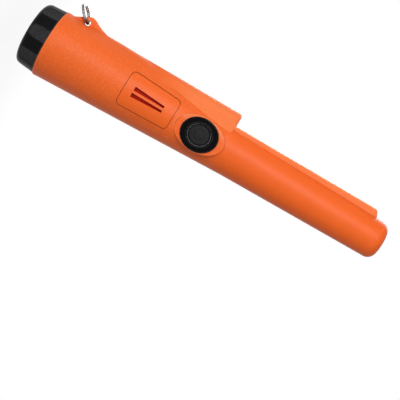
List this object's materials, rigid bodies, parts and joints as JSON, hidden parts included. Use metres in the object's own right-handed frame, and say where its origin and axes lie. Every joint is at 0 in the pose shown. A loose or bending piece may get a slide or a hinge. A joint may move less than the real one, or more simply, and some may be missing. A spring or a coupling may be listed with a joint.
{
  "type": "pinpointer",
  "caption": "Handheld pinpointing probe: tapered orange tube with a finned grip, push button, sound panel, scraper keel, ruler, lanyard ring and a screw battery cap",
  "frame": {"origin": "centre of the battery cap's flat end face, which the part stands on", "axes": "+Z along the tube to the search tip, -X to the fin, keel and lanyard lug, -Y to the push button, +Y to the ruler"},
  "size_m": [0.049, 0.0402, 0.23],
  "materials": {
    "orange_plastic": "moulded, fine satin grain",
    "black_plastic": "moulded, satin",
    "black_gloss": "moulded, polished ring",
    "black_rubber": "moulded, satin",
    "clear_lens": "clear, polished",
    "membrane_film": "thin film",
    "steel": "bright zinc plate",
    "frame_plastic": "moulded, natural",
    "board_green": "solder mask",
    "chip_black": "moulded package",
    "can_silver": "drawn can",
    "flex_amber": "film",
    "lead_red": "insulated wire",
    "copper_wire": "enamelled winding",
    "ferrite": "sintered",
    "plated_contact": "plated"
  },
  "bodies": {
    "housing": {"body_shell": "orange_plastic", "speaker_panel": "orange_plastic", "button_bezel": "black_gloss", "button_seal": "black_rubber", "cap_o_ring": "black_rubber", "tip_cushion": "black_rubber", "speaker_gasket": "black_rubber", "led_lens": "clear_lens", "led": "clear_lens", "speaker_membrane": "membrane_film", "chassis_screws": "steel", "pcb_screws": "steel", "motor_clip": "steel", "vibration_motor": "steel", "crystal": "steel", "chassis": "frame_plastic", "coil_former": "frame_plastic", "contact_plate": "frame_plastic", "main_pcb": "board_green", "processor_chip": "chip_black", "amplifier_chips": "chip_black", "speaker": "chip_black", "tact_switch": "chip_black", "capacitors": "can_silver", "battery": "can_silver", "led_flex_cable": "flex_amber", "battery_leads": "lead_red", "coil_leads": "lead_red", "transmit_coil": "copper_wire", "receive_coils": "copper_wire", "ferrite_core": "ferrite", "snap_contacts": "plated_contact"},
    "cap": {"battery_cap": "black_plastic"},
    "button": {"power_button": "black_rubber"},
    "pad": {"battery_pad": "black_rubber"},
    "ring": {"lanyard_ring": "steel"},
    "rotor": {"motor_shaft": "steel", "eccentric_weight": "steel"},
    "plunger": {"switch_plunger": "chip_black"}
  },
  "joints": [
    {"name": "cap_travel", "type": "slide", "parent": "housing", "child": "pad", "axis": [0, 0, -1], "range_m": [0, 0.009]},
    {"name": "cap_turn", "type": "hinge", "parent": "pad", "child": "cap", "pos_m": [0, 0, 0], "axis": [0, 0, -1], "range_deg": [0, 1080]},
    {"name": "button_press", "type": "slide", "parent": "housing", "child": "button", "axis": [0, 1, 0], "range_m": [0, 0.0008], "stiffness_N_per_m": 2500, "springref_m": -0.0004},
    {"name": "plunger_press", "type": "slide", "parent": "housing", "child": "plunger", "axis": [0, 1, 0], "range_m": [0, 0.0008]},
    {"name": "ring_swing", "type": "hinge", "parent": "housing", "child": "ring", "pos_m": [-0.02045, 0, 0.0248], "axis": [0, 1, 0], "range_deg": [-40, 120]},
    {"name": "motor_spin", "type": "hinge", "parent": "housing", "child": "rotor", "pos_m": [0, 0.00315, 0.098], "axis": [0, 0, 1], "continuous": true}
  ],
  "couplings": [
    {"joint": "cap_travel", "follows": "cap_turn", "m_per_rad": 0.00047746},
    {"joint": "plunger_press", "follows": "button_press", "ratio": 1}
  ]
}
